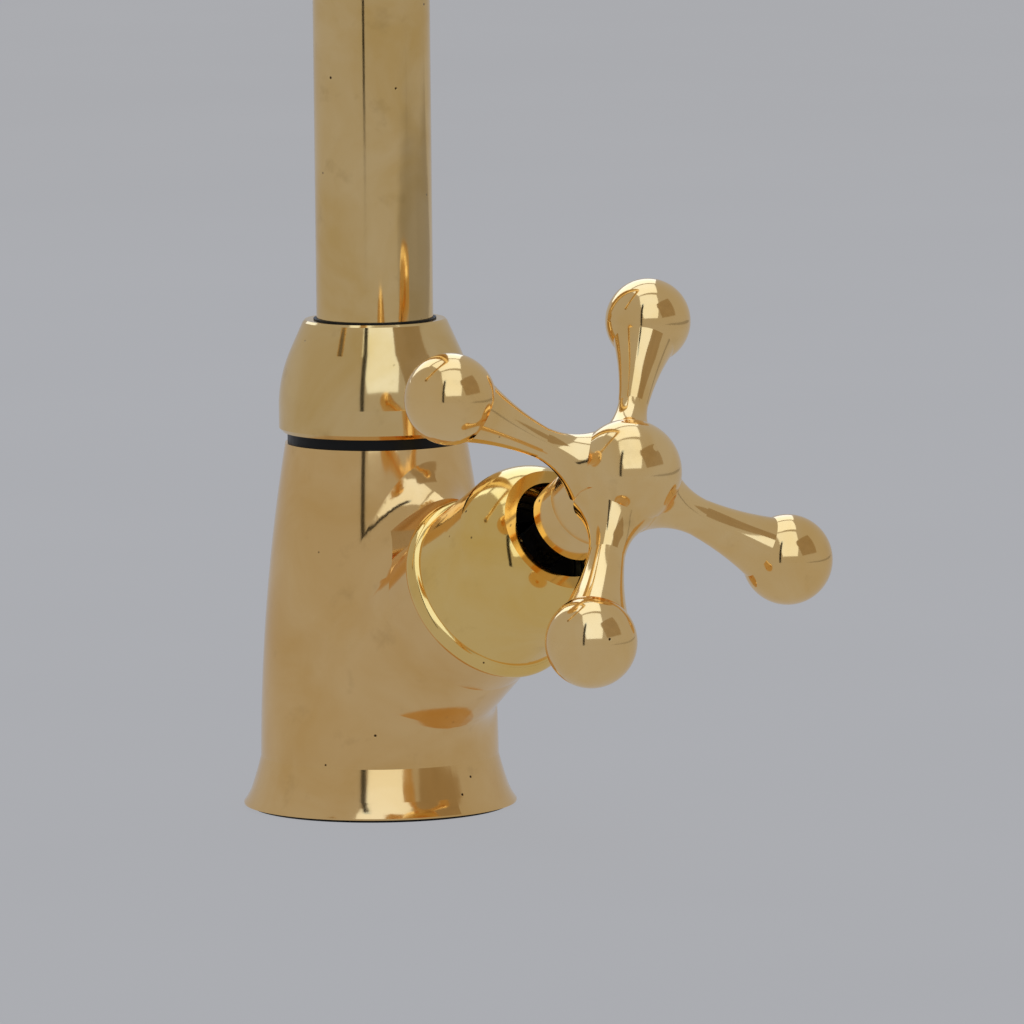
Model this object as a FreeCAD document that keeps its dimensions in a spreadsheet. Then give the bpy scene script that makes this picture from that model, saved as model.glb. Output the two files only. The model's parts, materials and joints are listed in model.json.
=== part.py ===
import FreeCAD, Part
import math
import os

import Sketcher

# Cross handle mixer tap: a brass body that stands on a deck, a swivelling
# swan neck spout, and a cross handle that turns and tilts over a ceramic
# mixing cartridge in the side branch of the body.
#
# Origin: centre of the underside, on the deck.  +Z is up, the spout reaches
# out along -Y and the handle branch leaves along +X, rising from the deck.
# Pieces of the branch are drawn along their own Z, which is the valve axis,
# and their own -X then points up the slope.

SIZES = {
    # base seal and foot of the body
    "seal_inner": 20.4,
    "seal_outer": 24.3,
    "seal_stand": 0.6,
    "seal_sunk": 1.4,
    "foot_radius": 25.75,
    "foot_edge": 0.3,
    "foot_round_radius": 24.95,
    "foot_round_height": 2.1,
    "foot_flare_radius": 24.2,
    "foot_flare_height": 3.7,
    "foot_waist_radius": 23.45,
    "foot_waist_height": 6.0,
    # turned column
    "column_low_radius": 22.45,
    "column_low_height": 9.7,
    "column_mid_radius": 20.75,
    "column_mid_height": 42.0,
    "column_top_radius": 17.15,
    "column_height": 69.0,
    "recess_radius": 19.5,
    "recess_depth": 7.4,
    # spout socket on top of the column
    "boss_radius": 14.6,
    "boss_height": 11.0,
    "socket_radius": 9.65,
    "socket_depth": 24.0,
    "riser_radius": 5.0,
    "riser_end": 29.0,
    # side branch, measured along the valve axis from where it meets Z
    "valve_height": 22.9,
    "valve_rise": 31.0,
    "seat_reach": 39.6,
    "branch_radius": 16.15,
    "branch_root_radius": 19.2,
    "branch_root_reach": 4.0,
    "blend_share": 0.574,
    "relief_depth": 0.55,
    "relief_step": 0.05,
    "spot_radius": 20.3,
    "thread_radius": 15.5,
    "thread_length": 9.5,
    "neck_radius": 14.9,
    "cavity_radius": 12.75,
    "cavity_depth": 10.6,
    # water ways and fixing holes
    "inlet_radius": 4.5,
    "inlet_length": 13.0,
    "inlet_way_radius": 4.0,
    "inlet_way_length": 5.0,
    "inlet_offset": 8.3,
    "inlet_half_spacing": 6.5,
    "stud_radius": 3.4,
    "stud_length": 14.0,
    "stud_offset": 12.0,
    "feed_stop": 1.36,
    "outlet_stop": 0.55,
    # cartridge ports, seen along the valve axis
    "port_radius": 2.2,
    "port_down": 4.6,
    "port_side": 3.6,
    "drain_radius": 3.0,
    "drain_up": 5.6,
    "ring_section": 0.5,
    "ring_gap": 0.2,
    # cartridge
    "base_radius": 11.2,
    "base_thickness": 3.0,
    "disc_thickness": 2.5,
    "fixed_disc_radius": 10.9,
    "moving_disc_radius": 8.3,
    "slot_half_width": 2.5,
    "slot_nose": 3.2,
    "slot_tail": 7.3,
    "slot_depth": 1.5,
    "carrier_height": 4.0,
    "carrier_half_width": 6.6,
    "carrier_floor": 0.5,
    "housing_radius": 12.5,
    "housing_bore": 11.3,
    "shoulder_height": 20.5,
    "turret_radius": 10.9,
    "turret_height": 6.5,
    "turret_bore": 9.75,
    "turret_wall": 2.5,
    # yoke, pin and lever
    "pivot_height": 21.0,
    "yoke_flange_radius": 11.2,
    "yoke_slot_half_length": 6.8,
    "pin_radius": 1.25,
    "lever_arm": 10.2,
    "lever_ball_radius": 2.0,
    "lever_shank_radius": 1.5,
    "lever_radius": 4.2,
    "lever_half_flat": 3.3,
    "lever_collar_drop": 4.5,
    # cartridge nut
    "nut_thread_radius": 14.0,
    "nut_thread_length": 5.0,
    "nut_bore": 11.1,
    "nut_flange_height": 3.5,
    "nut_across_flats": 24.4,
    # bell shaped bonnet, heights above its seat
    "bell_height": 27.4,
    "bell_foot_radius": 16.75,
    "bell_lip_radius": 18.15,
    "bell_lip_low": 0.4,
    "bell_lip_middle": 2.3,
    "bell_lip_high": 4.2,
    "bell_flare_radius": 16.5,
    "bell_flare_height": 7.9,
    "bell_side_radius": 16.35,
    "bell_side_height": 13.1,
    "bell_shoulder_height": 18.7,
    "bell_crown_radius": 15.6,
    "bell_crown_height": 22.4,
    "bell_face_radius": 12.0,
    "bell_opening": 9.6,
    "bell_wall": 1.4,
    "bell_face_wall": 1.8,
    "bell_ring_reach": 2.0,
    "bell_ring_section": 0.8,
    # cross handle, heights above the bell face
    "handle_gap": 3.3,
    "handle_standoff": 21.0,
    "skirt_radius": 7.8,
    "skirt_height": 6.2,
    "skirt_flare_radius": 8.6,
    "hub_radius": 9.7,
    "hub_rise": 3.2,
    "arm_length": 36.4,
    "arm_blend_radius": 14.2,
    "arm_turn": 58.5,
    "neck_at": 17.0,
    "top_ball": 7.9,
    "top_neck": 2.75,
    "left_ball": 8.4,
    "left_neck": 2.95,
    "bottom_ball": 8.4,
    "bottom_neck": 3.4,
    "right_ball": 8.35,
    "right_neck": 3.5,
    "stem_gap": 3.0,
    "handle_screw_radius": 2.0,
    "handle_screw_length": 3.4,
    "handle_screw_reach": 4.0,
    # collar and glide ring
    "glide_radius": 16.7,
    "glide_height": 2.0,
    "glide_sleeve_radius": 15.4,
    "glide_sleeve_height": 8.0,
    "collar_radius": 18.3,
    "collar_edge": 0.8,
    "collar_side_height": 5.5,
    "collar_bend_radius": 17.5,
    "collar_bend_height": 11.0,
    "collar_slope_radius": 15.95,
    "collar_slope_height": 15.5,
    "collar_rim_radius": 13.6,
    "collar_rim": 0.4,
    "collar_height": 21.1,
    "collar_socket_depth": 12.0,
    "wiper_width": 0.55,
    "wiper_depth": 2.2,
    "wiper_proud": 0.25,
    # spout
    "tube_radius": 11.0,
    "tube_bore": 9.8,
    "tube_straight": 146.8,
    "tube_bend": 75.0,
    "tube_drop": 25.0,
    "spigot_radius": 9.6,
    "spigot_bore": 7.0,
    "spigot_rise": 14.0,
    "spigot_tip_gap": 1.0,
    "spout_ring_section": 0.9,
    "spout_ring_low": 4.5,
    "spout_ring_pitch": 5.5,
    "stop_groove_depth": 1.1,
    "stop_groove_width": 4.0,
    "stop_screw_drop": 6.5,
    "stop_screw_radius": 2.5,
    "stop_screw_tip": 1.6,
    "stop_screw_length": 6.0,
    # outlet
    "ferrule_radius": 12.6,
    "ferrule_overlap": 6.0,
    "ferrule_length": 9.0,
    "aerator_thread": 10.9,
    "aerator_bore": 9.0,
    "aerator_lip_radius": 12.0,
    "aerator_lip": 3.5,
    "aerator_mouth": 8.2,
    "aerator_flats": 21.5,
    "washer_bore": 8.2,
    "washer_thickness": 1.5,
    "insert_rim": 1.0,
    "insert_length": 8.0,
    "insert_hole": 1.1,
    "insert_circle": 5.6,
    "screen_thickness": 0.6,
    "screen_hole": 1.2,
    "screen_circle": 4.6,
    # clearances
    "running_fit": 0.05,
    "slide_fit": 0.1,
    "loose_fit": 0.25,
}

ARMS = ["right", "top", "left", "bottom"]
AERATOR_HOLES = 8

doc = FreeCAD.newDocument("CrossHandleTap")
sheet = doc.addObject("Spreadsheet::Sheet", "Sizes")
for row, (alias, size) in enumerate(SIZES.items(), start=1):
    sheet.set(f"A{row}", alias)
    sheet.set(f"B{row}", str(size))
    sheet.setAlias(f"B{row}", alias)
doc.recompute()


class Size:
    """A length or angle as a number together with the expression that gives it."""

    def __init__(self, value, text):
        self.value = value
        self.text = text

    def __add__(self, other):
        other = as_size(other)
        return Size(self.value + other.value, f"({self.text} + {other.text})")

    def __sub__(self, other):
        other = as_size(other)
        return Size(self.value - other.value, f"({self.text} - {other.text})")

    def __mul__(self, other):
        other = as_size(other)
        return Size(self.value * other.value, f"({self.text} * {other.text})")

    def __truediv__(self, other):
        other = as_size(other)
        return Size(self.value / other.value, f"({self.text} / {other.text})")

    def __neg__(self):
        return Size(-self.value, f"(-1 * {self.text})")


def as_size(number):
    """Wrap a plain number as a Size."""
    return number if isinstance(number, Size) else Size(number, repr(number))


def cosine(angle):
    return Size(math.cos(math.radians(angle.value)), f"cos({angle.text} * 1 deg)")


def sine(angle):
    return Size(math.sin(math.radians(angle.value)), f"sin({angle.text} * 1 deg)")


def root(square):
    return Size(math.sqrt(square.value), f"sqrt({square.text})")


class Sheet:
    """Reads the spreadsheet's cells as Sizes."""

    def __getattr__(self, alias):
        return Size(float(sheet.get(alias)), f"Sizes.{alias}")


d = Sheet()
ZERO = Size(0.0, "0")

# Heights on the column, from the deck
foot_under = d.seal_stand
roof = foot_under + d.recess_depth
socket_floor = d.column_height - d.socket_depth
collar_base = d.column_height + d.glide_height + d.running_fit
tube_base = collar_base + d.collar_socket_depth
collar_top = collar_base + d.collar_height
bend_start = tube_base + d.tube_straight
tube_end = bend_start - d.tube_drop
stop_height = d.column_height - d.stop_screw_drop

# Distances along the valve axis
cavity_floor = d.seat_reach - d.cavity_depth
disc_seat = cavity_floor + d.base_thickness
disc_face = disc_seat + d.disc_thickness
moving_disc_base = disc_face + d.running_fit
carrier_base = moving_disc_base + d.disc_thickness
carrier_top = carrier_base + d.carrier_height
shoulder = cavity_floor + d.shoulder_height
turret_top = shoulder + d.turret_height
shelf = shoulder - d.turret_wall
pivot = cavity_floor + d.pivot_height
neck_top = shoulder + d.nut_thread_length
nut_top = neck_top + d.nut_flange_height
bell_face = d.seat_reach + d.bell_height
skirt_end = bell_face + d.handle_gap
arm_plane = bell_face + d.handle_standoff
stem_top = arm_plane - d.stem_gap
yoke_base = carrier_top + d.loose_fit

# Where the branch's upper line meets the column, and the cuts that follow from it
column_fall = ((d.column_top_radius - d.column_mid_radius)
               / (d.column_height - d.column_mid_height))
branch_top = d.valve_height + d.branch_radius * cosine(d.valve_rise)
corner_radius = d.column_mid_radius + column_fall * (branch_top - d.column_mid_height)
corner = ((corner_radius + d.branch_radius * sine(d.valve_rise))
          / (cosine(d.valve_rise) - column_fall * sine(d.valve_rise)))
corner_height = branch_top + corner * sine(d.valve_rise)
branch_blend = (d.column_height - corner_height) * d.blend_share
relief_reach = corner - d.relief_depth
feed_run = d.inlet_offset + d.feed_stop - d.port_down * sine(d.valve_rise)
feed_length = cavity_floor - feed_run / cosine(d.valve_rise)
outlet_run = d.outlet_stop + d.drain_up * sine(d.valve_rise)
outlet_way_length = cavity_floor - outlet_run / cosine(d.valve_rise)

parts = []


# ---------------------------------------------------------------- helpers

def new_body(label):
    """Start one sub-part, named after the piece that it is."""
    body = doc.addObject("PartDesign::Body", label)
    body.Label = label
    parts.append(body)
    return body


def on_valve_axis(body):
    """Set a sub-part on the valve axis, its own Z along that axis."""
    up = FreeCAD.Vector(0, 1, 0)
    tilt = 90 - d.valve_rise.value
    body.Placement = FreeCAD.Placement(
        FreeCAD.Vector(0, 0, d.valve_height.value), FreeCAD.Rotation(up, tilt))
    body.setExpression("Placement.Base.z", d.valve_height.text)
    body.setExpression("Placement.Rotation.Angle", f"90 - {d.valve_rise.text}")
    return body


def at_outlet(body):
    """Set a sub-part on the end of the spout, its own Z along the water."""
    body.Placement = FreeCAD.Placement(
        FreeCAD.Vector(0, -2 * d.tube_bend.value, tube_end.value),
        FreeCAD.Rotation(FreeCAD.Vector(1, 0, 0), 180))
    body.setExpression("Placement.Base.y", f"-2 * {d.tube_bend.text}")
    body.setExpression("Placement.Base.z", tube_end.text)
    return body


def plane_of(body, role):
    return [part for part in body.Origin.OriginFeatures if part.Role == role][0]


def new_sketch(body, name, role, offset=ZERO):
    """A sketch on one of the body's own planes, moved off it by an offset."""
    sketch = body.newObject("Sketcher::SketchObject", name)
    sketch.AttachmentSupport = [(plane_of(body, role), "")]
    sketch.MapMode = "FlatFace"
    if offset.text != ZERO.text:
        sketch.AttachmentOffset = FreeCAD.Placement(
            FreeCAD.Vector(0, 0, offset.value), FreeCAD.Rotation())
        sketch.setExpression("AttachmentOffset.Base.z", offset.text)
    return sketch


def tie(sketch, name, constraint, size):
    """Add a dimension and bind it to the sizes."""
    index = sketch.addConstraint(constraint)
    sketch.renameConstraint(index, name)
    sketch.setExpression(f"Constraints.{name}", size.text)


def tie_point(sketch, name, geometry, position, point):
    """Hold a point of a sketch at its two coordinates."""
    for kind, axis, size in (("DistanceX", -2, point[0]), ("DistanceY", -1, point[1])):
        if size.text == ZERO.text:
            sketch.addConstraint(Sketcher.Constraint("PointOnObject", geometry, position, axis))
        else:
            tie(sketch, name + kind[-1],
                Sketcher.Constraint(kind, -1, 1, geometry, position, size.value), size)


def vector(point):
    return FreeCAD.Vector(point[0].value, point[1].value, 0)


def outline(sketch, name, start, steps):
    """Draw a closed outline of lines and arcs.

    A step (x, y) is a line to that point, and a step (x, y, via_x, via_y) is
    an arc to it through the second point.  A line closes the outline, unless
    its last step already ends at the start.
    """
    if not is_same(steps[-1], start):
        steps = steps + [start]
    begins = [start] + [step[:2] for step in steps[:-1]]
    first = sketch.GeometryCount
    ends = []
    arcs = []
    for index, (begin, step) in enumerate(zip(begins, steps)):
        if len(step) == 4:
            edge = Part.Arc(vector(begin), vector(step[2:]), vector(step))
            arcs.append((first + index, step[2:]))
        else:
            edge = Part.LineSegment(vector(begin), vector(step))
        sketch.addGeometry(edge, False)
        clockwise = len(step) == 4 and turns_clockwise(begin, step[2:], step)
        ends.append((2, 1) if clockwise else (1, 2))
    for index in range(len(steps)):
        following = (index + 1) % len(steps)
        sketch.addConstraint(Sketcher.Constraint(
            "Coincident", first + index, ends[index][1], first + following, ends[following][0]))
    for index, begin in enumerate(begins):
        tie_point(sketch, f"{name}{index}", first + index, ends[index][0], begin)
    for index, (edge, via) in enumerate(arcs):
        mark = sketch.addGeometry(Part.Point(vector(via)), True)
        tie_point(sketch, f"{name}Via{index}", mark, 1, via)
        sketch.addConstraint(Sketcher.Constraint("PointOnObject", mark, 1, edge))


def is_same(step, point):
    return (step[0].text, step[1].text) == (point[0].text, point[1].text)


def turns_clockwise(begin, via, end):
    """True if the arc from begin through via to end runs clockwise."""
    first = vector(via) - vector(begin)
    second = vector(end) - vector(via)
    return first.cross(second).z < 0


def circle(sketch, name, centre, radius):
    """Draw one circle with its centre and radius bound to the sizes."""
    index = sketch.addGeometry(
        Part.Circle(vector(centre), FreeCAD.Vector(0, 0, 1), radius.value), False)
    tie_point(sketch, name + "Centre", index, 3, centre)
    tie(sketch, name + "Radius", Sketcher.Constraint("Radius", index, radius.value), radius)


def rectangle(low_x, low_y, high_x, high_y):
    """The start and steps of a rectangular outline."""
    return (low_x, low_y), [(high_x, low_y), (high_x, high_y), (low_x, high_y)]


def volume(body):
    doc.recompute()
    return body.Shape.Volume


def spin(body, kind, name, sketch, axis="V_Axis"):
    """Revolve a sketch once round one of its axes, to add or to cut."""
    before = 0.0 if kind == "Revolution" else volume(body)
    feature = body.newObject(f"PartDesign::{kind}", name)
    feature.Profile = (sketch, [""])
    feature.ReferenceAxis = (sketch, [axis])
    feature.Angle = 360
    if kind == "Groove" and not volume(body) < before:
        raise RuntimeError(f"{body.Label}: {name} cut nothing")
    return feature


def turned(body, name, start, steps, kind="Revolution"):
    """A turned shape from an outline of radius and height, about the body's Z."""
    sketch = new_sketch(body, name + "Sketch", "XZ_Plane")
    outline(sketch, "p", start, steps)
    return spin(body, kind, name, sketch)


def bored(body, name, start, steps):
    """A turned cut about the body's Z."""
    return turned(body, name, start, steps, "Groove")


def tube_ring(body, name, inner, outer, low, high):
    """A plain ring between two radii and two heights."""
    return turned(body, name, *rectangle(inner, low, outer, high))


def pad(body, name, sketch, length, reverse=False):
    feature = body.newObject("PartDesign::Pad", name)
    feature.Profile = (sketch, [""])
    feature.Length = length.value
    feature.setExpression("Length", length.text)
    feature.Reversed = reverse
    return feature


def pocket(body, name, sketch, length, reverse=False):
    """Cut a sketch to a depth, against the sketch's normal unless reversed."""
    before = volume(body)
    feature = body.newObject("PartDesign::Pocket", name)
    feature.Profile = (sketch, [""])
    feature.Type = "Length"
    feature.Length = length.value
    feature.setExpression("Length", length.text)
    feature.Reversed = reverse
    if not volume(body) < before:
        raise RuntimeError(f"{body.Label}: {name} cut nothing")
    return feature


def round_hole(body, name, centre, radius, start, length, up=True):
    """A round hole along the body's Z, from a height upwards or downwards."""
    sketch = new_sketch(body, name + "Sketch", "XY_Plane", start)
    circle(sketch, "c", centre, radius)
    return pocket(body, name, sketch, length, up)


def ring_solid(label, major, section, height, centre=(ZERO, ZERO)):
    """A round rubber ring lying across its own Z."""
    ring = doc.addObject("Part::Torus", label)
    ring.Label = label
    ring.Radius1 = major.value
    ring.Radius2 = section.value
    ring.setExpression("Radius1", major.text)
    ring.setExpression("Radius2", section.text)
    ring.Placement = FreeCAD.Placement(
        FreeCAD.Vector(centre[0].value, centre[1].value, height.value), FreeCAD.Rotation())
    ring.setExpression("Placement.Base.x", centre[0].text)
    ring.setExpression("Placement.Base.y", centre[1].text)
    ring.setExpression("Placement.Base.z", height.text)
    return ring


def group(label, solids):
    """Several like solids that make one sub-part."""
    gathered = doc.addObject("Part::Compound", label)
    gathered.Label = label
    gathered.Links = solids
    parts.append(gathered)
    return gathered


def blend_edges(body, name, radius, chosen):
    """Round the edges of the newest shape that a test picks out."""
    doc.recompute()
    base = body.Tip
    names = [f"Edge{index}" for index, edge in enumerate(base.Shape.Edges, start=1) if chosen(edge)]
    if not names:
        raise RuntimeError(f"{body.Label}: {name} found no edge")
    feature = body.newObject("PartDesign::Fillet", name)
    feature.Base = (base, names)
    feature.Radius = radius.value
    feature.setExpression("Radius", radius.text)
    return feature


def is_joint_curve(edge):
    """True for the free curve where two turned shapes run into each other."""
    return "BSpline" in edge.Curve.TypeId


# ---------------------------------------------------------------- column

def make_body():
    """The cast and turned body with its branch, water ways and fixing holes."""
    body = new_body("tap_body")
    turned(
        body, "Column", (ZERO, foot_under),
        [(d.foot_radius, foot_under),
         (d.foot_radius, foot_under + d.foot_edge),
         (d.foot_flare_radius, d.foot_flare_height, d.foot_round_radius, d.foot_round_height),
         (d.column_low_radius, d.column_low_height, d.foot_waist_radius, d.foot_waist_height),
         (d.column_top_radius, d.column_height, d.column_mid_radius, d.column_mid_height),
         (d.boss_radius, d.column_height),
         (d.boss_radius, d.column_height + d.boss_height),
         (ZERO, d.column_height + d.boss_height)])
    add_branch(body)
    cut_spout_socket(body)
    cut_underside(body)
    cut_cavity(body)
    return body


def branch_sketch(body, name):
    """A sketch whose own Y runs along the valve axis."""
    sketch = new_sketch(body, name, "XZ_Plane")
    sketch.AttachmentOffset = FreeCAD.Placement(
        FreeCAD.Vector(0, d.valve_height.value, 0),
        FreeCAD.Rotation(FreeCAD.Vector(0, 0, 1), d.valve_rise.value - 90))
    sketch.setExpression("AttachmentOffset.Base.y", d.valve_height.text)
    sketch.setExpression("AttachmentOffset.Rotation.Angle", f"{d.valve_rise.text} - 90")
    return sketch


def add_branch(body):
    """The branch blends into the column, is relieved round its end and spot faced."""
    sketch = branch_sketch(body, "BranchSketch")
    outline(sketch, "p", (ZERO, d.branch_root_reach), [
        (d.branch_root_radius, d.branch_root_reach),
        (d.branch_radius, relief_reach),
        (d.branch_radius, neck_top),
        (ZERO, neck_top)])
    spin(body, "Revolution", "Branch", sketch)
    blend_edges(body, "BranchBlend", branch_blend, is_joint_curve)
    sketch = branch_sketch(body, "ReliefSketch")
    outline(sketch, "p", *rectangle(
        d.branch_radius + d.relief_step, relief_reach, d.spot_radius, d.seat_reach))
    spin(body, "Groove", "Relief", sketch)
    sketch = branch_sketch(body, "SpotFaceSketch")
    outline(sketch, "p", *rectangle(ZERO, d.seat_reach, d.spot_radius, neck_top))
    spin(body, "Groove", "SpotFace", sketch)
    sketch = branch_sketch(body, "NeckSketch")
    thread_end = d.seat_reach + d.thread_length
    outline(sketch, "p", (ZERO, d.seat_reach - d.cavity_depth), [
        (d.neck_radius, d.seat_reach - d.cavity_depth),
        (d.neck_radius, d.seat_reach),
        (d.thread_radius, d.seat_reach),
        (d.thread_radius, thread_end),
        (d.neck_radius, thread_end),
        (d.neck_radius, neck_top),
        (ZERO, neck_top)])
    spin(body, "Revolution", "Neck", sketch)


def cut_spout_socket(body):
    """The bored socket for the spout, its riser, and the stop screw's hole."""
    top = d.column_height + d.boss_height
    bored(body, "Socket", *rectangle(ZERO, socket_floor, d.socket_radius, top))
    bored(body, "Riser", *rectangle(ZERO, d.riser_end, d.riser_radius, socket_floor))
    sketch = new_sketch(body, "StopHoleSketch", "XZ_Plane")
    circle(sketch, "c", (ZERO, stop_height), d.stop_screw_radius)
    pocket(body, "StopHole", sketch, d.column_low_radius)


def cut_underside(body):
    """The hollow underside with the seal's groove and the threaded holes."""
    bored(body, "Recess", *rectangle(ZERO, foot_under, d.recess_radius, roof))
    bored(body, "SealGroove", *rectangle(
        d.seal_inner, foot_under, d.seal_outer, foot_under + d.seal_sunk))
    for side, name in ((1, "Hot"), (-1, "Cold")):
        centre = (d.inlet_offset, d.inlet_half_spacing * side)
        round_hole(body, name + "Inlet", centre, d.inlet_radius, roof, d.inlet_length)
        round_hole(body, name + "Way", centre, d.inlet_way_radius,
                   roof + d.inlet_length, d.inlet_way_length)
    round_hole(body, "StudHole", (-d.stud_offset, ZERO), d.stud_radius, roof, d.stud_length)


def across_branch(body, name):
    """A sketch on the floor of the cartridge cavity, its X down the slope."""
    sketch = new_sketch(body, name, "XY_Plane")
    run = cavity_floor * cosine(d.valve_rise)
    rise = d.valve_height + cavity_floor * sine(d.valve_rise)
    sketch.AttachmentOffset = FreeCAD.Placement(
        FreeCAD.Vector(run.value, 0, rise.value),
        FreeCAD.Rotation(FreeCAD.Vector(0, 1, 0), 90 - d.valve_rise.value))
    sketch.setExpression("AttachmentOffset.Base.x", run.text)
    sketch.setExpression("AttachmentOffset.Base.z", rise.text)
    sketch.setExpression("AttachmentOffset.Rotation.Angle", f"90 - {d.valve_rise.text}")
    return sketch


def cut_cavity(body):
    """The cartridge cavity, its nut's thread, the feeds and the outlet way."""
    sketch = branch_sketch(body, "CavitySketch")
    outline(sketch, "p", (ZERO, cavity_floor), [
        (d.cavity_radius, cavity_floor),
        (d.cavity_radius, shoulder - d.loose_fit),
        (d.nut_thread_radius, shoulder - d.loose_fit),
        (d.nut_thread_radius, neck_top),
        (ZERO, neck_top)])
    spin(body, "Groove", "Cavity", sketch)
    ring_middle = d.seat_reach + d.bell_ring_reach
    groove_floor = d.thread_radius - d.bell_ring_section * 2
    sketch = branch_sketch(body, "BellRingSketch")
    outline(sketch, "p", *rectangle(
        groove_floor, ring_middle - d.bell_ring_section,
        d.thread_radius + d.slide_fit, ring_middle + d.bell_ring_section))
    spin(body, "Groove", "BellRingGroove", sketch)
    for side, name in ((1, "Hot"), (-1, "Cold")):
        sketch = across_branch(body, name + "FeedSketch")
        circle(sketch, "c", (d.port_down, d.port_side * side), d.port_radius)
        pocket(body, name + "Feed", sketch, feed_length)
    sketch = across_branch(body, "OutletSketch")
    circle(sketch, "c", (-d.drain_up, ZERO), d.drain_radius)
    pocket(body, "OutletWay", sketch, outlet_way_length)


def make_base_seal():
    """The rubber seal under the foot, which touches the deck."""
    body = new_body("base_seal")
    tube_ring(body, "Ring", d.seal_inner, d.seal_outer, ZERO, foot_under + d.seal_sunk)


def make_stop_screw():
    """The grub screw at the back that keeps the spout in its socket."""
    body = new_body("spout_stop_screw")
    body.Placement = FreeCAD.Placement(
        FreeCAD.Vector(0, 0, stop_height.value), FreeCAD.Rotation(FreeCAD.Vector(1, 0, 0), -90))
    body.setExpression("Placement.Base.z", stop_height.text)
    groove_floor = d.spigot_radius - d.stop_groove_depth
    tip = groove_floor + d.loose_fit
    thread_start = d.socket_radius + d.loose_fit
    head = thread_start + d.stop_screw_length
    turned(body, "Screw", (ZERO, tip), [
        (d.stop_screw_tip, tip),
        (d.stop_screw_tip, thread_start),
        (d.stop_screw_radius, thread_start),
        (d.stop_screw_radius, head),
        (ZERO, head)])
    hex_socket(body, head, d.stop_screw_radius)


def hex_socket(body, head, screw_radius):
    """A hexagon socket in the end of a grub screw."""
    sketch = new_sketch(body, "SocketSketch", "XY_Plane", head)
    hexagon(sketch, screw_radius / 2)
    pocket(body, "Socket", sketch, screw_radius)


def hexagon(sketch, corner):
    """Draw a hexagon about the sketch's origin, by its corner radius."""
    half = corner / 2
    side = corner * (math.sqrt(3) / 2)
    outline(sketch, "h", (corner, ZERO), [
        (half, side), (-half, side), (-corner, ZERO), (-half, -side), (half, -side)])


# ---------------------------------------------------------------- cartridge

def seal_group(label, height):
    """The three small rings round the ports of one face of the base."""
    rings = []
    places = [("hot", (d.port_down, d.port_side), d.port_radius),
              ("cold", (d.port_down, -d.port_side), d.port_radius),
              ("mixed", (-d.drain_up, ZERO), d.drain_radius)]
    for name, centre, port in places:
        major = port + d.ring_gap + d.ring_section
        rings.append(ring_solid(f"{label}_{name}", major, d.ring_section, height, centre))
    return on_valve_axis(group(label, rings))


def port_holes(body, start, length):
    """The hot, cold and mixed water ports through a cartridge piece."""
    for side, name in ((1, "Hot"), (-1, "Cold")):
        centre = (d.port_down, d.port_side * side)
        round_hole(body, name + "Port", centre, d.port_radius, start, length)
    round_hole(body, "MixedPort", (-d.drain_up, ZERO), d.drain_radius, start, length)


def port_rings(body, name, start):
    """The grooves that hold the small rings round the ports."""
    width = d.ring_section * 2
    sketch = new_sketch(body, name + "Sketch", "XY_Plane", start)
    places = [("hot", (d.port_down, d.port_side), d.port_radius),
              ("cold", (d.port_down, -d.port_side), d.port_radius),
              ("mixed", (-d.drain_up, ZERO), d.drain_radius)]
    for port_name, centre, port in places:
        circle(sketch, port_name + "In", centre, port + d.ring_gap)
        circle(sketch, port_name + "Out", centre, port + d.ring_gap + width)
    pocket(body, name, sketch, width, True)


def make_cartridge_base():
    """The plastic base of the cartridge, with ports and ring grooves."""
    body = on_valve_axis(new_body("cartridge_base"))
    turned(body, "Disc", *rectangle(ZERO, cavity_floor, d.base_radius, disc_seat))
    port_holes(body, cavity_floor, d.base_thickness)
    port_rings(body, "LowerRings", cavity_floor)
    port_rings(body, "UpperRings", disc_seat - d.ring_section * 2)


def make_fixed_disc():
    """The ceramic disc that stays still, with the three ports."""
    body = on_valve_axis(new_body("fixed_ceramic_disc"))
    turned(body, "Disc", *rectangle(ZERO, disc_seat, d.fixed_disc_radius, disc_face))
    port_holes(body, disc_seat, d.disc_thickness)


def make_moving_disc():
    """The ceramic disc that slides, with the chamber that joins the ports."""
    body = on_valve_axis(new_body("moving_ceramic_disc"))
    turned(body, "Disc", *rectangle(
        ZERO, moving_disc_base, d.moving_disc_radius, carrier_base))
    sketch = new_sketch(body, "ChamberSketch", "XY_Plane", moving_disc_base)
    half = d.slot_half_width
    nose = d.slot_nose - half
    tail = half - d.slot_tail
    outline(sketch, "p", (tail, -half), [
        (nose, -half),
        (nose, half, d.slot_nose, ZERO),
        (tail, half),
        (tail, -half, -d.slot_tail, ZERO)])
    pocket(body, "Chamber", sketch, d.slot_depth, True)


def make_disc_carrier():
    """The plastic carrier that the lever's ball pushes to and fro."""
    body = on_valve_axis(new_body("disc_carrier"))
    turned(body, "Puck", *rectangle(ZERO, carrier_base, d.moving_disc_radius, carrier_top))
    for side, name in ((1, "Far"), (-1, "Near")):
        sketch = new_sketch(body, name + "FlatSketch", "XY_Plane", carrier_base)
        outer = d.moving_disc_radius + d.loose_fit
        low = d.carrier_half_width * side
        high = outer * side
        outline(sketch, "p", *rectangle(-outer, low, outer, high))
        pocket(body, name + "Flat", sketch, d.carrier_height, True)
    socket = d.lever_ball_radius + d.slide_fit
    socket_base = carrier_base + d.carrier_floor
    bored(body, "BallSocket", *rectangle(ZERO, socket_base, socket, carrier_top))


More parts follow.
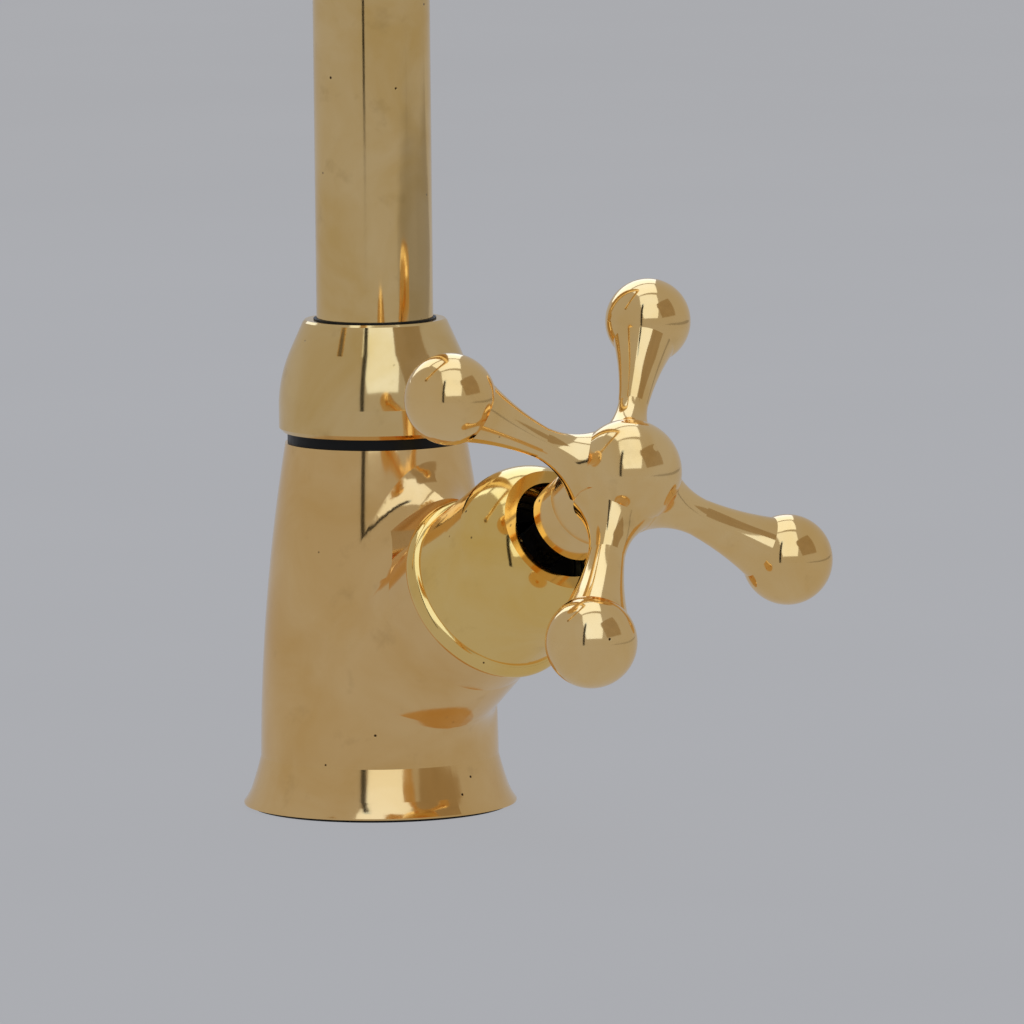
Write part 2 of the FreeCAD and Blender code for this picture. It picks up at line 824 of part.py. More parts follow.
def make_housing():
    """The plastic shell of the cartridge, with its narrower turret."""
    body = on_valve_axis(new_body("cartridge_housing"))
    turned(body, "Shell", (d.housing_bore, cavity_floor), [
        (d.housing_radius, cavity_floor),
        (d.housing_radius, shoulder),
        (d.turret_radius, shoulder),
        (d.turret_radius, turret_top),
        (d.turret_bore, turret_top),
        (d.turret_bore, shelf),
        (d.housing_bore, shelf)])


def make_yoke():
    """The rotor that turns in the turret, carries the pin and guides the disc."""
    body = on_valve_axis(new_body("lever_yoke"))
    flange_top = shelf - d.slide_fit
    stem = d.turret_bore - d.running_fit * 2
    top = turret_top - d.loose_fit
    lug_base = carrier_base + d.loose_fit
    turned(body, "Rotor", (ZERO, lug_base), [
        (d.yoke_flange_radius, lug_base),
        (d.yoke_flange_radius, flange_top),
        (stem, flange_top),
        (stem, top),
        (ZERO, top)])
    wide = d.yoke_flange_radius + d.loose_fit
    channel = d.carrier_half_width + d.slide_fit
    sketch = new_sketch(body, "ChannelSketch", "XY_Plane", lug_base)
    outline(sketch, "p", *rectangle(-wide, -channel, wide, channel))
    pocket(body, "Channel", sketch, yoke_base - lug_base, True)
    slot_width = d.lever_half_flat + d.slide_fit
    length = d.yoke_slot_half_length
    sketch = new_sketch(body, "SlotSketch", "XY_Plane", yoke_base)
    outline(sketch, "p", *rectangle(-length, -slot_width, length, slot_width))
    pocket(body, "Slot", sketch, top - yoke_base, True)
    sketch = new_sketch(body, "PinHoleSketch", "XZ_Plane", stem)
    circle(sketch, "c", (ZERO, pivot), d.pin_radius)
    pocket(body, "PinHole", sketch, stem * 2)


def make_pin():
    """The steel pin that the lever tilts on."""
    body = on_valve_axis(new_body("lever_pin"))
    half = d.turret_bore - d.loose_fit * 2
    sketch = new_sketch(body, "PinSketch", "XZ_Plane", -half)
    circle(sketch, "c", (ZERO, pivot), d.pin_radius)
    pad(body, "Pin", sketch, half * 2)


def make_lever():
    """The steel lever: a ball tip, a shank, and a flatted stem."""
    body = on_valve_axis(new_body("cartridge_lever"))
    ball = pivot - d.lever_arm
    radius = d.lever_ball_radius
    shank_start = ball + root(radius * radius - d.lever_shank_radius * d.lever_shank_radius)
    collar = pivot - d.lever_collar_drop
    turned(body, "Lever", (ZERO, ball - radius), [
        (d.lever_shank_radius, shank_start, radius, ball),
        (d.lever_shank_radius, collar),
        (d.lever_radius, collar),
        (d.lever_radius, stem_top),
        (ZERO, stem_top)])
    outer = d.lever_radius + d.loose_fit
    for side, name in ((1, "Far"), (-1, "Near")):
        sketch = new_sketch(body, name + "FlatSketch", "XY_Plane", collar)
        low = d.lever_half_flat * side
        outline(sketch, "p", *rectangle(-outer, low, outer, outer * side))
        pocket(body, name + "Flat", sketch, stem_top - collar, True)
    sketch = new_sketch(body, "PinHoleSketch", "XZ_Plane", outer)
    circle(sketch, "c", (ZERO, pivot), d.pin_radius + d.running_fit)
    pocket(body, "PinHole", sketch, outer * 2)


def make_nut():
    """The brass nut that clamps the cartridge down."""
    body = on_valve_axis(new_body("cartridge_nut"))
    sketch = new_sketch(body, "FlangeSketch", "XY_Plane", neck_top)
    hexagon(sketch, d.nut_across_flats / math.sqrt(3))
    pad(body, "Flange", sketch, d.nut_flange_height)
    turned(body, "Thread", *rectangle(ZERO, shoulder, d.nut_thread_radius, neck_top))
    bored(body, "Bore", *rectangle(ZERO, shoulder, d.nut_bore, nut_top))


# ---------------------------------------------------------------- bell and handle

def make_bell():
    """The bell shaped bonnet that screws over the branch."""
    body = on_valve_axis(new_body("bell_bonnet"))
    seat = d.seat_reach
    thread = d.thread_radius + d.slide_fit
    neck = d.neck_radius + d.slide_fit
    thread_end = seat + d.thread_length + d.slide_fit
    inner_shoulder = seat + d.bell_shoulder_height
    inner_side = d.bell_side_radius - d.bell_wall
    inner_crown = seat + d.bell_crown_height - d.bell_wall
    under_face = bell_face - d.bell_face_wall
    turned(body, "Bell", (thread, seat), [
        (d.bell_foot_radius, seat),
        (d.bell_foot_radius, seat + d.bell_lip_low),
        (d.bell_foot_radius, seat + d.bell_lip_high,
         d.bell_lip_radius, seat + d.bell_lip_middle),
        (d.bell_side_radius, seat + d.bell_side_height,
         d.bell_flare_radius, seat + d.bell_flare_height),
        (d.bell_side_radius, inner_shoulder),
        (d.bell_face_radius, bell_face, d.bell_crown_radius, seat + d.bell_crown_height),
        (d.bell_opening, bell_face),
        (d.bell_opening, under_face),
        (inner_side, inner_shoulder, d.bell_crown_radius - d.bell_wall, inner_crown),
        (neck, inner_shoulder),
        (neck, thread_end),
        (thread, thread_end)])


def make_bell_ring():
    """The rubber ring between the branch and the bell."""
    height = d.seat_reach + d.bell_ring_reach
    major = d.thread_radius + d.slide_fit - d.bell_ring_section
    ring = ring_solid("bell_ring_section", major, d.bell_ring_section, height)
    on_valve_axis(group("bell_o_ring", [ring]))


def add_arm(body, index, ball, neck):
    """One arm of the cross: a blend off the hub, a neck and a round knob."""
    name = ARMS[index].capitalize()
    reach = d.arm_length
    knob_start = reach - ball * math.sqrt(0.5)
    knob_radius = ball * math.sqrt(0.5)
    throat = d.neck_at + (knob_start - d.neck_at) / 2
    throat_radius = neck + (knob_radius - neck) / 3
    blend = d.arm_blend_radius
    diagonal = math.sqrt(0.5)
    hub_start = d.neck_at - blend * diagonal
    hub_radius = neck + blend * (1 - diagonal)
    middle = math.sin(math.radians(22.5))
    sketch = new_sketch(body, name + "ArmSketch", "XY_Plane", arm_plane)
    turn = Size(90.0 * index, repr(90.0 * index)) + d.arm_turn
    sketch.AttachmentOffset = FreeCAD.Placement(
        FreeCAD.Vector(0, 0, arm_plane.value),
        FreeCAD.Rotation(FreeCAD.Vector(0, 0, 1), turn.value))
    sketch.setExpression("AttachmentOffset.Rotation.Angle", turn.text)
    outline(sketch, "p", (ZERO, ZERO), [
        (ZERO, hub_radius),
        (hub_start, hub_radius),
        (d.neck_at, neck, d.neck_at - blend * middle,
         neck + blend * (1 - math.cos(math.radians(22.5)))),
        (knob_start, knob_radius, throat, throat_radius),
        (reach + ball, ZERO, reach, ball)])
    return spin(body, "Revolution", name + "Arm", sketch, "H_Axis")


def make_handle():
    """The cross handle: hub, skirt and four arms with round knobs."""
    body = on_valve_axis(new_body("cross_handle"))
    hub_centre = arm_plane + d.hub_rise
    skirt_top = skirt_end + d.skirt_height
    half_turn = math.sqrt(0.5)
    turned(body, "Hub", (ZERO, skirt_end), [
        (d.skirt_radius, skirt_end),
        (d.skirt_radius, skirt_top),
        (d.hub_radius, arm_plane, d.skirt_flare_radius, (skirt_top + arm_plane) / 2),
        (d.hub_radius, hub_centre),
        (ZERO, hub_centre + d.hub_radius,
         d.hub_radius * half_turn, hub_centre + d.hub_radius * half_turn)])
    knobs = {"left": (d.left_ball, d.left_neck), "bottom": (d.bottom_ball, d.bottom_neck),
             "right": (d.right_ball, d.right_neck), "top": (d.top_ball, d.top_neck)}
    for index, name in enumerate(ARMS):
        add_arm(body, index, *knobs[name])
    cut_stem_socket(body)
    cut_handle_screw_hole(body)


def cut_stem_socket(body):
    """The flatted socket that takes the lever's stem."""
    socket_radius = d.lever_radius + d.slide_fit
    flat = d.lever_half_flat + d.running_fit
    side = root(socket_radius * socket_radius - flat * flat)
    sketch = new_sketch(body, "StemSocketSketch", "XY_Plane", skirt_end)
    outline(sketch, "p", (-side, -flat), [
        (side, -flat),
        (side, flat, socket_radius, ZERO),
        (-side, flat),
        (-side, -flat, -socket_radius, ZERO)])
    pocket(body, "StemSocket", sketch, stem_top + d.slide_fit - skirt_end, True)


def cut_handle_screw_hole(body):
    """The threaded hole for the handle's grub screw, on the far side."""
    sketch = new_sketch(body, "ScrewHoleSketch", "XZ_Plane")
    circle(sketch, "c", (ZERO, skirt_end + d.handle_screw_reach), d.handle_screw_radius)
    pocket(body, "ScrewHole", sketch, d.skirt_radius + d.loose_fit)


def make_handle_screw():
    """The grub screw that grips the lever's flat."""
    body = on_valve_axis(new_body("handle_grub_screw"))
    height = skirt_end + d.handle_screw_reach
    start = d.lever_half_flat
    sketch = new_sketch(body, "ScrewSketch", "XZ_Plane", -start)
    circle(sketch, "c", (ZERO, height), d.handle_screw_radius)
    pad(body, "Screw", sketch, d.handle_screw_length, True)


# ---------------------------------------------------------------- collar and spout

def make_glide_ring():
    """The black ring that the collar turns on."""
    body = new_body("glide_ring")
    inner = d.boss_radius + d.running_fit
    base = d.column_height
    turned(body, "Ring", (inner, base), [
        (d.glide_radius, base),
        (d.glide_radius, base + d.glide_height),
        (d.glide_sleeve_radius, base + d.glide_height),
        (d.glide_sleeve_radius, base + d.glide_height + d.glide_sleeve_height),
        (inner, base + d.glide_height + d.glide_sleeve_height)])


def make_collar():
    """The domed collar at the foot of the spout."""
    body = new_body("spout_collar")
    base = collar_base
    socket = d.glide_sleeve_radius + d.running_fit * 2
    groove = d.tube_radius + d.wiper_width
    turned(body, "Collar", (socket, base), [
        (d.collar_radius - d.collar_edge, base),
        (d.collar_radius, base + d.collar_edge),
        (d.collar_radius, base + d.collar_side_height),
        (d.collar_slope_radius, base + d.collar_slope_height,
         d.collar_bend_radius, base + d.collar_bend_height),
        (d.collar_rim_radius, collar_top - d.collar_rim),
        (d.collar_rim_radius - d.collar_rim, collar_top),
        (groove, collar_top),
        (groove, collar_top - d.wiper_depth),
        (d.tube_radius, collar_top - d.wiper_depth),
        (d.tube_radius, tube_base),
        (socket, tube_base)])


def make_wiper():
    """The black ring that shows where the tube leaves the collar."""
    body = new_body("collar_wiper_ring")
    tube_ring(body, "Ring", d.tube_radius, d.tube_radius + d.wiper_width,
              collar_top - d.wiper_depth, collar_top + d.wiper_proud)


def make_tube():
    """The bent brass tube of the spout."""
    body = new_body("spout_tube")
    path = new_sketch(body, "PathSketch", "YZ_Plane")
    bend = d.tube_bend
    top = bend_start
    path.addGeometry(Part.LineSegment(vector((ZERO, tube_base)), vector((ZERO, top))), False)
    arc_top = (-bend, top + bend)
    path.addGeometry(Part.Arc(
        vector((ZERO, top)), vector(arc_top), vector((-(bend * 2), top))), False)
    path.addGeometry(Part.LineSegment(
        vector((-(bend * 2), top)), vector((-(bend * 2), tube_end))), False)
    path.addConstraint(Sketcher.Constraint("Coincident", 0, 2, 1, 1))
    path.addConstraint(Sketcher.Constraint("Coincident", 1, 2, 2, 1))
    tie_point(path, "foot", 0, 1, (ZERO, tube_base))
    tie_point(path, "bend", 0, 2, (ZERO, top))
    tie_point(path, "fall", 2, 1, (-(bend * 2), top))
    tie_point(path, "outlet", 2, 2, (-(bend * 2), tube_end))
    tie(path, "centreY", Sketcher.Constraint("DistanceY", -1, 1, 1, 3, top.value), top)
    section = new_sketch(body, "SectionSketch", "XY_Plane", tube_base)
    circle(section, "outer", (ZERO, ZERO), d.tube_radius)
    circle(section, "inner", (ZERO, ZERO), d.tube_bore)
    pipe = body.newObject("PartDesign::AdditivePipe", "Tube")
    pipe.Profile = (section, [""])
    pipe.Spine = (path, [])


def make_spigot():
    """The turned spigot in the foot of the spout, with its three grooves."""
    body = new_body("spout_spigot")
    base = socket_floor + d.spigot_tip_gap
    top = tube_base + d.spigot_rise
    ring = d.spout_ring_section
    ring_floor = d.socket_radius - d.running_fit - ring * 2
    steps = [(d.spigot_radius, base)]
    for index in range(2):
        middle = base + d.spout_ring_low + d.spout_ring_pitch * index
        steps += [(d.spigot_radius, middle - ring), (ring_floor, middle - ring),
                  (ring_floor, middle + ring), (d.spigot_radius, middle + ring)]
    half = d.stop_groove_width / 2
    floor = d.spigot_radius - d.stop_groove_depth
    steps += [(d.spigot_radius, stop_height - half), (floor, stop_height - half),
              (floor, stop_height + half), (d.spigot_radius, stop_height + half),
              (d.spigot_radius, tube_base), (d.tube_bore, tube_base),
              (d.tube_bore, top), (d.spigot_bore, top)]
    turned(body, "Spigot", (d.spigot_bore, base), steps)


def make_spout_rings():
    """The two rubber rings that seal the spout in its socket."""
    base = socket_floor + d.spigot_tip_gap
    section = d.spout_ring_section
    major = d.socket_radius - d.running_fit - section
    rings = []
    for index in range(2):
        height = base + d.spout_ring_low + d.spout_ring_pitch * index
        rings.append(ring_solid(f"spout_ring_{index}", major, section, height))
    group("spout_o_rings", rings)


# ---------------------------------------------------------------- outlet

def make_ferrule():
    """The brass ferrule soldered round the end of the tube."""
    body = at_outlet(new_body("outlet_ferrule"))
    tube_ring(body, "Ring", d.tube_radius, d.ferrule_radius,
              -d.ferrule_overlap, d.ferrule_length)


def make_washer():
    """The rubber washer between the tube and the aerator."""
    body = at_outlet(new_body("aerator_washer"))
    tube_ring(body, "Ring", d.washer_bore, d.aerator_thread, ZERO, d.washer_thickness)


def ring_of_holes(body, name, hole, circle_radius, start, length):
    """Round holes set evenly on a circle."""
    first = round_hole(body, name, (circle_radius, ZERO), hole, start, length)
    pattern = body.newObject("PartDesign::PolarPattern", name + "Pattern")
    pattern.Originals = [first]
    pattern.Axis = (first.Profile[0], ["N_Axis"])
    pattern.Angle = 360
    pattern.Occurrences = AERATOR_HOLES
    body.Tip = pattern
    return pattern


def make_insert():
    """The plastic insert that mixes air into the water."""
    body = at_outlet(new_body("aerator_insert"))
    base = d.washer_thickness
    core = d.aerator_bore - d.slide_fit
    turned(body, "Core", (ZERO, base), [
        (d.aerator_thread, base),
        (d.aerator_thread, base + d.insert_rim),
        (core, base + d.insert_rim),
        (core, base + d.insert_length),
        (ZERO, base + d.insert_length)])
    ring_of_holes(body, "Hole", d.insert_hole, d.insert_circle, base, d.insert_length)


def make_screen():
    """The perforated steel screen under the insert."""
    body = at_outlet(new_body("aerator_screen"))
    base = d.washer_thickness + d.insert_length
    core = d.aerator_bore - d.slide_fit
    turned(body, "Disc", *rectangle(ZERO, base, core, base + d.screen_thickness))
    ring_of_holes(body, "Hole", d.screen_hole, d.screen_circle, base, d.screen_thickness)


def make_aerator_housing():
    """The brass sleeve that screws the aerator into the ferrule."""
    body = at_outlet(new_body("aerator_housing"))
    base = d.washer_thickness + d.insert_rim
    seat = d.washer_thickness + d.insert_length + d.screen_thickness
    flange = d.ferrule_length + d.running_fit
    end = flange + d.aerator_lip
    turned(body, "Sleeve", (d.aerator_bore, base), [
        (d.aerator_thread, base),
        (d.aerator_thread, flange),
        (d.aerator_lip_radius, flange),
        (d.aerator_lip_radius, end),
        (d.aerator_mouth, end),
        (d.aerator_mouth, seat),
        (d.aerator_bore, seat)])
    outer = d.aerator_lip_radius + d.loose_fit
    for side, name in ((1, "Far"), (-1, "Near")):
        sketch = new_sketch(body, name + "FlatSketch", "XY_Plane", flange)
        outline(sketch, "p", *rectangle(
            -outer, d.aerator_flats / 2 * side, outer, outer * side))
        pocket(body, name + "Flat", sketch, d.aerator_lip, True)


# ---------------------------------------------------------------- document

def build():
    make_body()
    make_base_seal()
    make_stop_screw()
    make_cartridge_base()
    seal_group("cartridge_base_seals", cavity_floor + d.ring_section)
    seal_group("disc_port_seals", disc_seat - d.ring_section)
    make_fixed_disc()
    make_moving_disc()
    make_disc_carrier()
    make_housing()
    make_yoke()
    make_pin()
    make_lever()
    make_nut()
    make_bell()
    make_bell_ring()
    make_handle()
    make_handle_screw()
    make_glide_ring()
    make_collar()
    make_wiper()
    make_tube()
    make_spigot()
    make_spout_rings()
    make_ferrule()
    make_washer()
    make_insert()
    make_screen()
    make_aerator_housing()


def check():
    """Stop before anything is written if an object failed or a shape is bad."""
    doc.recompute()
    for item in doc.Objects:
        if "Invalid" in item.State or "Error" in item.State:
            raise RuntimeError(f"{item.Label}: {item.State}")
    for part in parts:
        if part.Shape.isNull() or not part.Shape.isValid():
            raise RuntimeError(f"{part.Label}: bad shape")


def write():
    os.makedirs("parts", exist_ok=True)
    for part in parts:
        part.Shape.exportStep(os.path.join("parts", part.Label + ".step"))
        box = part.Shape.BoundBox
        print(f"{part.Label}: {part.Shape.Volume:.1f} mm3, "
              f"z {box.ZMin:.2f} to {box.ZMax:.2f}, solids {len(part.Shape.Solids)}")


build()
check()
write()
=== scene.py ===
"""Dresses the cross handle mixer tap: bare polished brass, black rings, studio light."""

import json
import math

import bpy
from mathutils import Matrix, Vector

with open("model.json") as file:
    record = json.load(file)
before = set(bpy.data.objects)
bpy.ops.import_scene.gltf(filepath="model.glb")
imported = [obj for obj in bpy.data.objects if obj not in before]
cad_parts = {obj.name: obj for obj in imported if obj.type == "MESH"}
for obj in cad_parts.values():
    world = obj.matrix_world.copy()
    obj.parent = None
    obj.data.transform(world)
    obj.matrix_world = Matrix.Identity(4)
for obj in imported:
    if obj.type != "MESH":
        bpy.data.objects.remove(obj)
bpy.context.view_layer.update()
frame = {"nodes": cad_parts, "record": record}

NODES = frame["nodes"]

# ---------------------------------------------------------------- camera
# The photograph's view: from the front right, a little above, far away.

VIEW_AZIMUTH = math.radians(54.0)
VIEW_ELEVATION = math.radians(7.0)
VIEW_ROLL = math.radians(0.67)
VIEW_DISTANCE = 2.0
PIXELS_PER_METRE = 5309.0
FRAME_PIXELS = 1024
SENSOR = 0.036
AIM_POINT = Vector((0, 0, 0.05))
AIM_PIXEL = (377.5, 541.0)


def view_axes():
    """Right, up and back of the camera before its roll."""
    right = Vector((math.cos(VIEW_AZIMUTH), math.sin(VIEW_AZIMUTH), 0))
    back = Vector((
        math.sin(VIEW_AZIMUTH) * math.cos(VIEW_ELEVATION),
        -math.cos(VIEW_AZIMUTH) * math.cos(VIEW_ELEVATION),
        math.sin(VIEW_ELEVATION)))
    return right, back.cross(right), back


RIGHT, UP, BACK = view_axes()


def add_camera():
    data = bpy.data.cameras.new("camera")
    data.sensor_width = SENSOR * 1000
    data.lens = PIXELS_PER_METRE * VIEW_DISTANCE / FRAME_PIXELS * SENSOR * 1000
    data.shift_x = 0.5 - AIM_PIXEL[0] / FRAME_PIXELS
    data.shift_y = AIM_PIXEL[1] / FRAME_PIXELS - 0.5
    data.clip_start = 0.1
    data.clip_end = 50.0
    camera = bpy.data.objects.new("camera", data)
    bpy.context.scene.collection.objects.link(camera)
    turn = Matrix.Rotation(-VIEW_ROLL, 3, BACK)
    right, up = turn @ RIGHT, turn @ UP
    place = Matrix((right, up, BACK)).transposed().to_4x4()
    place.translation = AIM_POINT + BACK * VIEW_DISTANCE
    camera.matrix_world = place
    bpy.context.scene.camera = camera


# ---------------------------------------------------------------- materials

class Shader:
    """A material's node tree with short ways to add and join nodes."""

    def __init__(self, name):
        self.material = bpy.data.materials.new(name)
        self.material.use_nodes = True
        self.nodes = self.material.node_tree.nodes
        self.links = self.material.node_tree.links
        self.surface = self.nodes["Principled BSDF"]
        self.place = self.add("ShaderNodeTexCoord").outputs["Object"]

    def add(self, kind, **settings):
        node = self.nodes.new(kind)
        for name, value in settings.items():
            setattr(node, name, value)
        return node

    def join(self, value, socket):
        """Link an output to a socket, or set the socket to a plain value."""
        if isinstance(value, bpy.types.NodeSocket):
            self.links.new(value, socket)
        else:
            socket.default_value = value

    def stretched(self, scale):
        node = self.add("ShaderNodeMapping")
        self.join(self.place, node.inputs["Vector"])
        node.inputs["Scale"].default_value = scale
        return node.outputs["Vector"]

    def noise(self, scale, detail=3.0, roughness=0.5, vector=None, distortion=0.0):
        node = self.add("ShaderNodeTexNoise")
        self.join(self.place if vector is None else vector, node.inputs["Vector"])
        node.inputs["Scale"].default_value = scale
        node.inputs["Detail"].default_value = detail
        node.inputs["Roughness"].default_value = roughness
        node.inputs["Distortion"].default_value = distortion
        return node.outputs["Fac"]

    def cells(self, scale):
        node = self.add("ShaderNodeTexVoronoi")
        self.join(self.place, node.inputs["Vector"])
        node.inputs["Scale"].default_value = scale
        return node.outputs["Distance"]

    def remap(self, value, low, high, to_low=0.0, to_high=1.0):
        node = self.add("ShaderNodeMapRange")
        self.join(value, node.inputs["Value"])
        node.inputs["From Min"].default_value = low
        node.inputs["From Max"].default_value = high
        node.inputs["To Min"].default_value = to_low
        node.inputs["To Max"].default_value = to_high
        return node.outputs["Result"]

    def maths(self, operation, first, second):
        node = self.add("ShaderNodeMath", operation=operation)
        self.join(first, node.inputs[0])
        self.join(second, node.inputs[1])
        return node.outputs["Value"]

    def mix(self, share, first, second):
        node = self.add("ShaderNodeMix", data_type="RGBA")
        self.join(share, node.inputs["Factor"])
        self.join(first, node.inputs["A"])
        self.join(second, node.inputs["B"])
        return node.outputs["Result"]

    def bump(self, height, depth, normal=None):
        node = self.add("ShaderNodeBump")
        node.inputs["Distance"].default_value = depth
        self.join(height, node.inputs["Height"])
        if normal is not None:
            self.join(normal, node.inputs["Normal"])
        return node.outputs["Normal"]


def colour(red, green, blue):
    """A colour given as the screen shows it, made linear."""
    linear = [((c / 255 + 0.055) / 1.055) ** 2.4 if c > 10 else c / 255 / 12.92
              for c in (red, green, blue)]
    return (*linear, 1.0)


PIT_TONE = colour(70, 50, 25)
PIT_DEPTH = 0.00006
WAVE_DEPTH = 0.00004
SCRATCH_DEPTH = 0.0000025
STAIN_SHADE = 0.82


def brass(name, light, deep, roughness, haze):
    """Bare brass, polished and then handled: tint that drifts, fine scratches, pits."""
    s = Shader(name)
    drift = s.remap(s.noise(60, 4, 0.55, distortion=0.6), 0.35, 0.68)
    tint = s.mix(drift, colour(*light), colour(*deep))
    stain = s.remap(s.noise(160, 5, 0.6), 0.60, 0.78, 0.0, 0.35)
    tint = s.mix(stain, tint, colour(*[c * STAIN_SHADE for c in deep]))
    pits = s.remap(s.cells(230), 0.045, 0.07)
    sparse = s.remap(s.noise(90, 1), 0.50, 0.54)
    pit = s.maths("MAXIMUM", pits, s.maths("SUBTRACT", 1.0, sparse))
    tint = s.mix(s.maths("SUBTRACT", 1.0, pit), tint, PIT_TONE)
    s.join(tint, s.surface.inputs["Base Color"])
    s.surface.inputs["Metallic"].default_value = 1.0
    cloud = s.remap(s.noise(45, 4, 0.6), 0.3, 0.75, roughness, roughness + haze)
    s.join(cloud, s.surface.inputs["Roughness"])
    waves = s.bump(s.noise(70, 2), WAVE_DEPTH)
    brushed = s.noise(900, 3, 0.6, s.stretched((1.0, 1.0, 0.12)))
    scratched = s.bump(brushed, SCRATCH_DEPTH, waves)
    pitted = s.bump(pit, PIT_DEPTH, scratched)
    s.join(pitted, s.surface.inputs["Normal"])
    return s.material


def dark_plastic(name, tone, roughness):
    """Moulded plastic or rubber with a faint texture."""
    s = Shader(name)
    drift = s.noise(300, 3)
    s.join(s.mix(drift, colour(tone, tone, tone), colour(tone * 1.5, tone * 1.5, tone * 1.4)),
           s.surface.inputs["Base Color"])
    s.join(s.remap(s.noise(500, 3), 0.3, 0.7, roughness, roughness + 0.15),
           s.surface.inputs["Roughness"])
    s.surface.inputs["Specular IOR Level"].default_value = 0.25
    s.join(s.bump(s.noise(2500, 2), 0.00001), s.surface.inputs["Normal"])
    return s.material


def pale_solid(name, tone, roughness, grain):
    """White plastic or ceramic with a little unevenness."""
    s = Shader(name)
    s.join(s.mix(s.noise(200, 3), colour(*tone), colour(*[c * 0.93 for c in tone])),
           s.surface.inputs["Base Color"])
    s.join(s.remap(s.noise(400, 3), 0.3, 0.7, roughness, roughness + 0.12),
           s.surface.inputs["Roughness"])
    s.join(s.bump(s.noise(grain, 2), 0.000008), s.surface.inputs["Normal"])
    return s.material


def turned_steel(name):
    """Stainless steel with fine turning marks."""
    s = Shader(name)
    s.join(s.mix(s.noise(200, 3), colour(176, 176, 174), colour(150, 150, 150)),
           s.surface.inputs["Base Color"])
    s.surface.inputs["Metallic"].default_value = 1.0
    s.join(s.remap(s.noise(300, 3), 0.3, 0.7, 0.22, 0.4), s.surface.inputs["Roughness"])
    s.join(s.bump(s.noise(1500, 2, 0.5, s.stretched((0.2, 0.2, 1.0))), 0.000006),
           s.surface.inputs["Normal"])
    return s.material


MATERIALS = {
    "body_brass": brass("body_brass", (250, 209, 144), (242, 196, 124), 0.075, 0.05),
    "bell_brass": brass("bell_brass", (255, 217, 136), (252, 207, 112), 0.07, 0.05),
    "handle_brass": brass("handle_brass", (255, 218, 154), (250, 206, 132), 0.065, 0.05),
    "spout_brass": brass("spout_brass", (246, 212, 150), (236, 196, 122), 0.07, 0.05),
    "turned_brass": brass("turned_brass", (240, 212, 140), (228, 196, 112), 0.20, 0.12),
    "steel": turned_steel("steel"),
    "black_rubber": dark_plastic("black_rubber", 18, 0.45),
    "black_plastic": dark_plastic("black_plastic", 10, 0.3),
    "white_plastic": pale_solid("white_plastic", (225, 224, 218), 0.45, 1500),
    "white_ceramic": pale_solid("white_ceramic", (236, 233, 224), 0.25, 2500),
}


def dress_nodes():
    """Give every carried node the material of its slot."""
    slots = {row["node"]: row["material_slot"] for row in frame["record"]["subparts"]}
    for name, node in NODES.items():
        node.data.materials.clear()
        node.data.materials.append(MATERIALS[slots[name]])


# ---------------------------------------------------------------- stage and light

FLOOR_TONE = colour(175, 176, 180)
FLOOR_DRIFT = colour(172, 173, 177)
WALL_TONE = colour(171, 172, 175)
FLOOR_GLOW = 0.93
FLOOR_SIZE = 80.0
AIM_LIGHT = Vector((0.02, 0, 0.08))
LAMP_TONE = (0.52, 0.69, 1.0)
LAMP_DISTANCE = 1.2
CARD_LIFT = 0.002
CARD_DRIFT = 0.15
BLACK = (0, 0, 0, 1)


def sheet(name, width, height):
    """A flat rectangle about its own centre."""
    mesh = bpy.data.meshes.new(name)
    x, y = width / 2, height / 2
    mesh.from_pydata([(-x, -y, 0), (x, -y, 0), (x, y, 0), (-x, y, 0)], [], [(0, 1, 2, 3)])
    flat = bpy.data.objects.new(name, mesh)
    bpy.context.scene.collection.objects.link(flat)
    return flat


def add_floor():
    """A wide pale floor, which is also as bright to the camera as it is coloured."""
    floor = sheet("floor", FLOOR_SIZE, FLOOR_SIZE)
    s = Shader("floor")
    tone = s.mix(s.noise(6, 3), FLOOR_TONE, FLOOR_DRIFT)
    seen = s.add("ShaderNodeLightPath").outputs
    glow = s.maths("MAXIMUM", seen["Is Camera Ray"], seen["Is Glossy Ray"])
    glow = s.maths("MAXIMUM", glow, seen["Is Transmission Ray"])
    s.join(s.mix(1.0 - FLOOR_GLOW, BLACK, tone), s.surface.inputs["Base Color"])
    s.join(tone, s.surface.inputs["Emission Color"])
    s.join(s.maths("MULTIPLY", glow, FLOOR_GLOW), s.surface.inputs["Emission Strength"])
    s.surface.inputs["Roughness"].default_value = 0.9
    s.surface.inputs["Specular IOR Level"].default_value = 0.0
    floor.data.materials.append(s.material)


def add_world():
    world = bpy.data.worlds.new("studio")
    bpy.context.scene.world = world
    world.use_nodes = True
    background = world.node_tree.nodes["Background"]
    background.inputs["Color"].default_value = WALL_TONE
    background.inputs["Strength"].default_value = 1.0


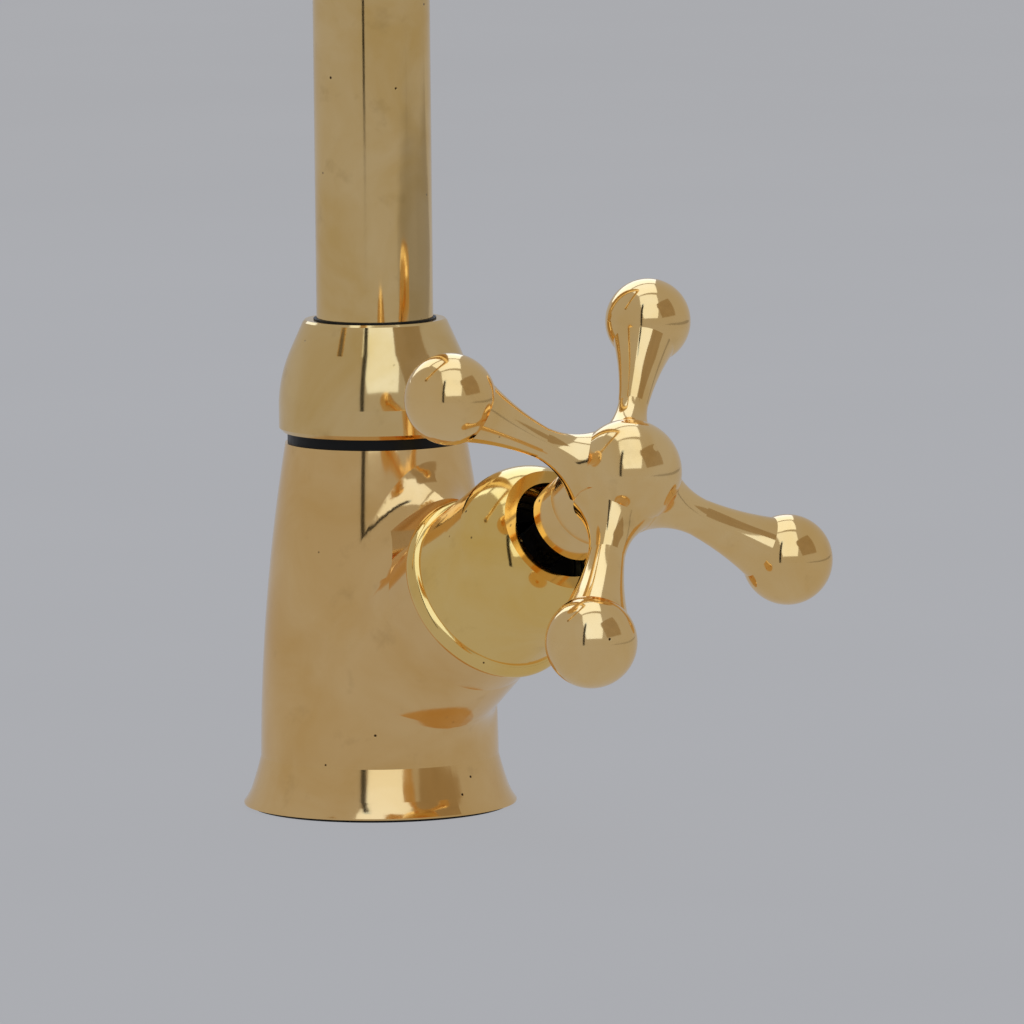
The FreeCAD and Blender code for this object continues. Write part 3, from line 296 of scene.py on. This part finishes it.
def direction(azimuth, elevation):
    """A unit vector, its azimuth counted from the camera's towards the picture's right."""
    turn = VIEW_AZIMUTH + math.radians(azimuth)
    rise = math.radians(elevation)
    level = math.cos(rise)
    return Vector((math.sin(turn) * level, -math.cos(turn) * level, math.sin(rise)))


def soft_box(name, azimuth, elevation, width, height, power):
    """A rectangular lamp that looks at the tap."""
    data = bpy.data.lights.new(name, "AREA")
    data.shape = "RECTANGLE"
    data.size = width
    data.size_y = height
    data.energy = power
    data.color = LAMP_TONE
    lamp = bpy.data.objects.new(name, data)
    bpy.context.scene.collection.objects.link(lamp)
    away = direction(azimuth, elevation)
    lamp.location = AIM_LIGHT + away * LAMP_DISTANCE
    lamp.rotation_euler = away.to_track_quat("Z", "Y").to_euler()
    lamp.visible_camera = False


def card(name, azimuth, elevation, width, height, tone, distance=1.15, lies=False):
    """A card that only shows in reflections, facing the tap or lying on the floor."""
    board = sheet(name, width, height)
    away = direction(azimuth, elevation)
    if lies:
        board.location = away * distance + Vector((0, 0, CARD_LIFT))
        board.rotation_euler.z = math.atan2(away.y, away.x)
    else:
        board.location = AIM_LIGHT + away * distance
        board.rotation_euler = away.to_track_quat("Z", "Y").to_euler()
    s = Shader(name)
    s.surface.inputs["Base Color"].default_value = BLACK
    s.surface.inputs["Specular IOR Level"].default_value = 0.0
    low = (*[c * (1 - CARD_DRIFT) for c in tone], 1)
    high = (*[c * (1 + CARD_DRIFT) for c in tone], 1)
    s.join(s.mix(s.noise(3), low, high), s.surface.inputs["Emission Color"])
    s.surface.inputs["Emission Strength"].default_value = 1.0
    board.data.materials.append(s.material)
    board.visible_camera = False
    board.visible_diffuse = False
    board.visible_shadow = False


add_camera()
dress_nodes()
add_floor()
add_world()
soft_box("key", 8, 47, 0.95, 1.6, 4.6)
soft_box("top", 15, 104, 0.9, 0.8, 2.6)
soft_box("back", 195, 35, 1.0, 0.8, 3.5)
card("key_edge", -17, 25, 0.10, 1.2, (0.02, 0.02, 0.02))
card("side_card", 60, 32, 0.9, 0.8, (0.29, 0.25, 0.20))
card("flag", 95, 0, 0.8, 1.7, (0.27, 0.27, 0.28), distance=1.1, lies=True)

bpy.context.scene.view_settings.view_transform = "Standard"
